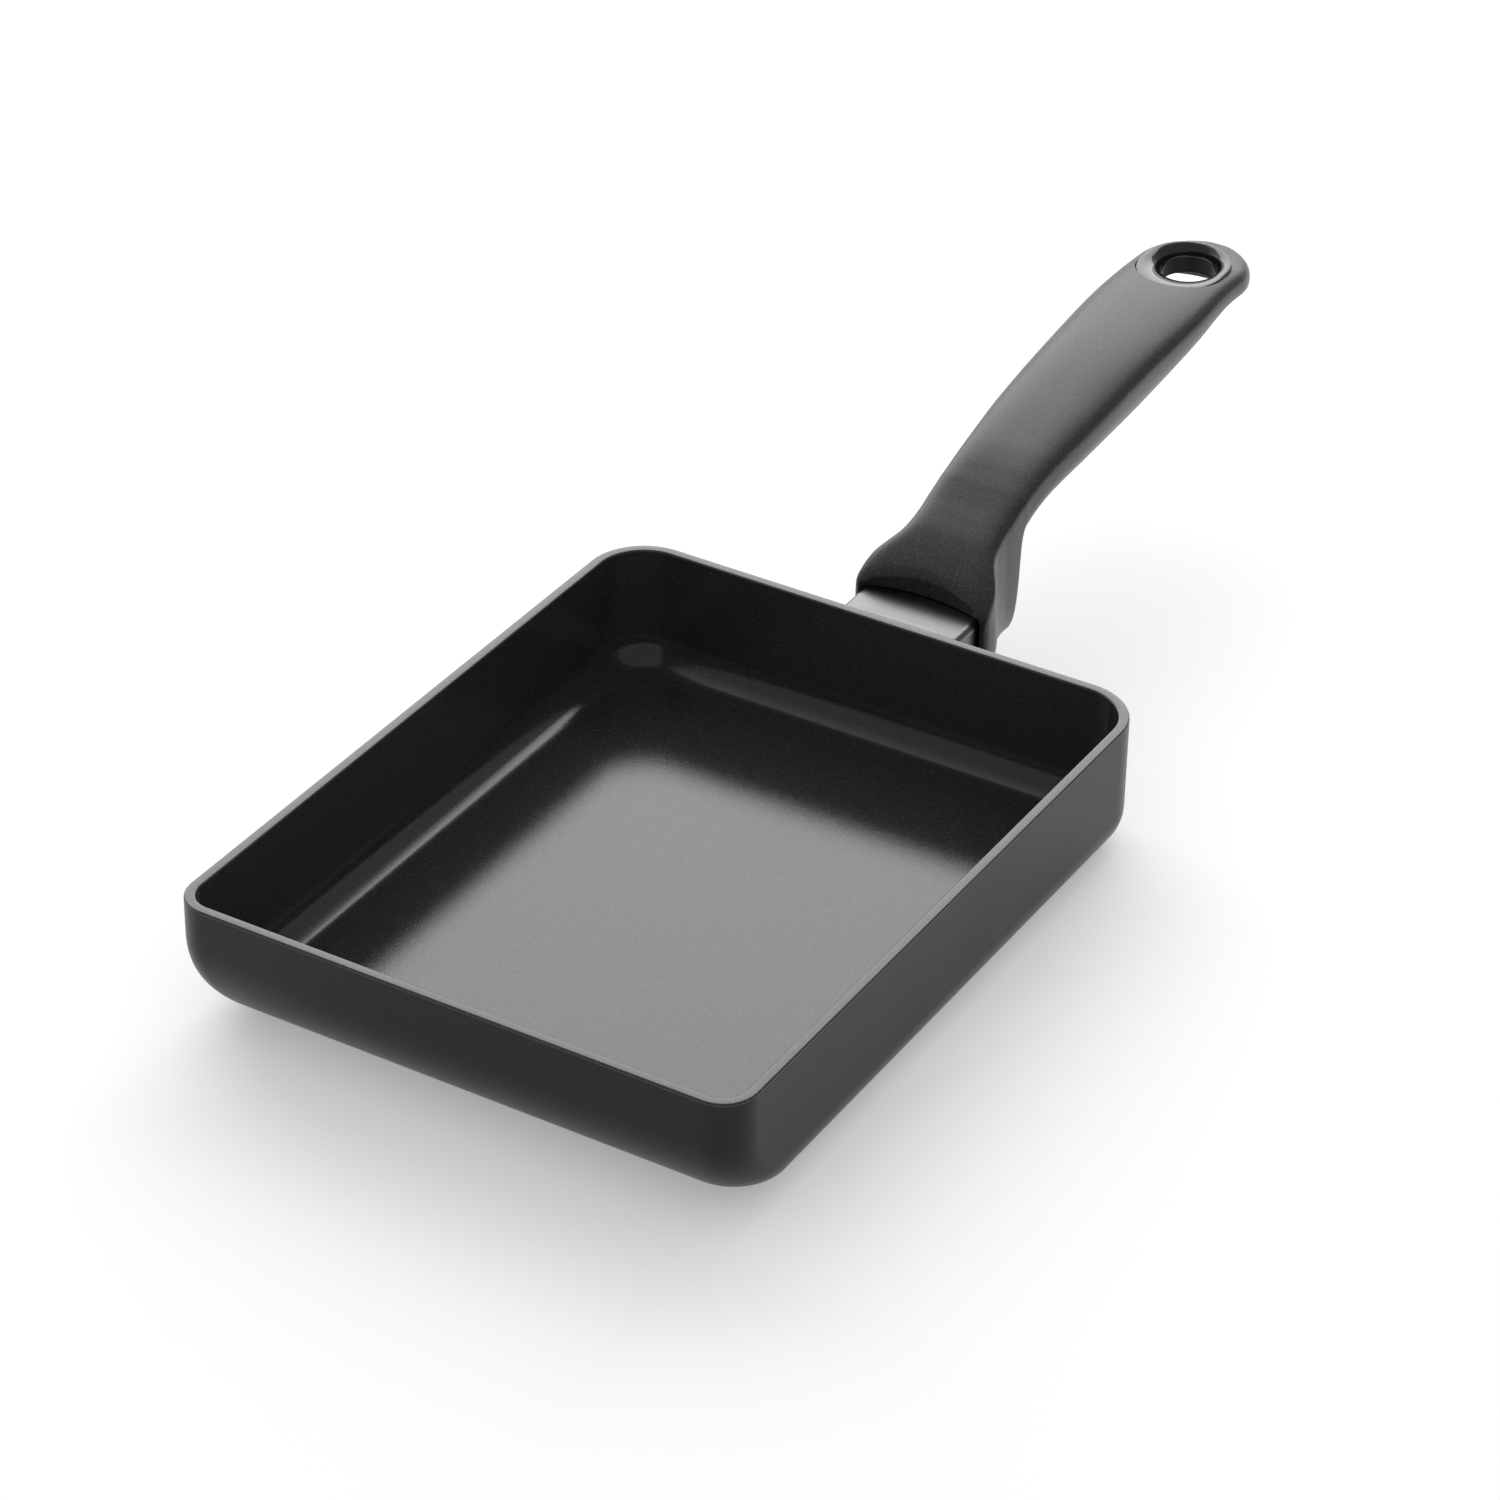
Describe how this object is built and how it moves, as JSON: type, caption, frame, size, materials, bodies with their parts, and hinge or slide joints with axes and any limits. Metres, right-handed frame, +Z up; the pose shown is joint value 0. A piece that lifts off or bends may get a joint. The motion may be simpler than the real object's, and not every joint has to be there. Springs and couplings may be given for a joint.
{
  "type": "tamagoyaki pan",
  "caption": "Rectangular rolled-omelette pan with straight walls, a rounded far end, a bonded induction base and a moulded grip with a hanging hole.",
  "frame": {"origin": "middle of the pan's flat underside, half way along the rim and half way across", "axes": "X across the pan, +Y from the pan towards the grip, +Z up"},
  "size_m": [0.14, 0.351, 0.0588],
  "materials": {
    "pan_coating": "pressed aluminium, ceramic non-stick coating inside with fine sparkle, black matt coating outside, bare bright rim",
    "base_steel": "fine brushed stainless steel",
    "stud_steel": "plain turned steel",
    "fastener_steel": "zinc-plated steel, satin",
    "bracket_metal": "die-cast, satin metallic grey lacquer",
    "grip_plastic": "heat-proof moulded plastic with a dark grey speckled soft-touch finish",
    "plug_plastic": "matt black",
    "eyelet_plastic": "polished black"
  },
  "bodies": {
    "root": {"pan_body": "pan_coating", "induction_base": "base_steel", "weld_studs": "stud_steel", "stud_washers": "fastener_steel", "stud_nuts": "fastener_steel", "handle_bracket": "bracket_metal", "bracket_nut": "fastener_steel", "handle_grip": "grip_plastic", "handle_screw": "fastener_steel", "screw_washer": "fastener_steel", "screw_plug": "plug_plastic", "hanging_eyelet": "eyelet_plastic"}
  },
  "joints": []
}
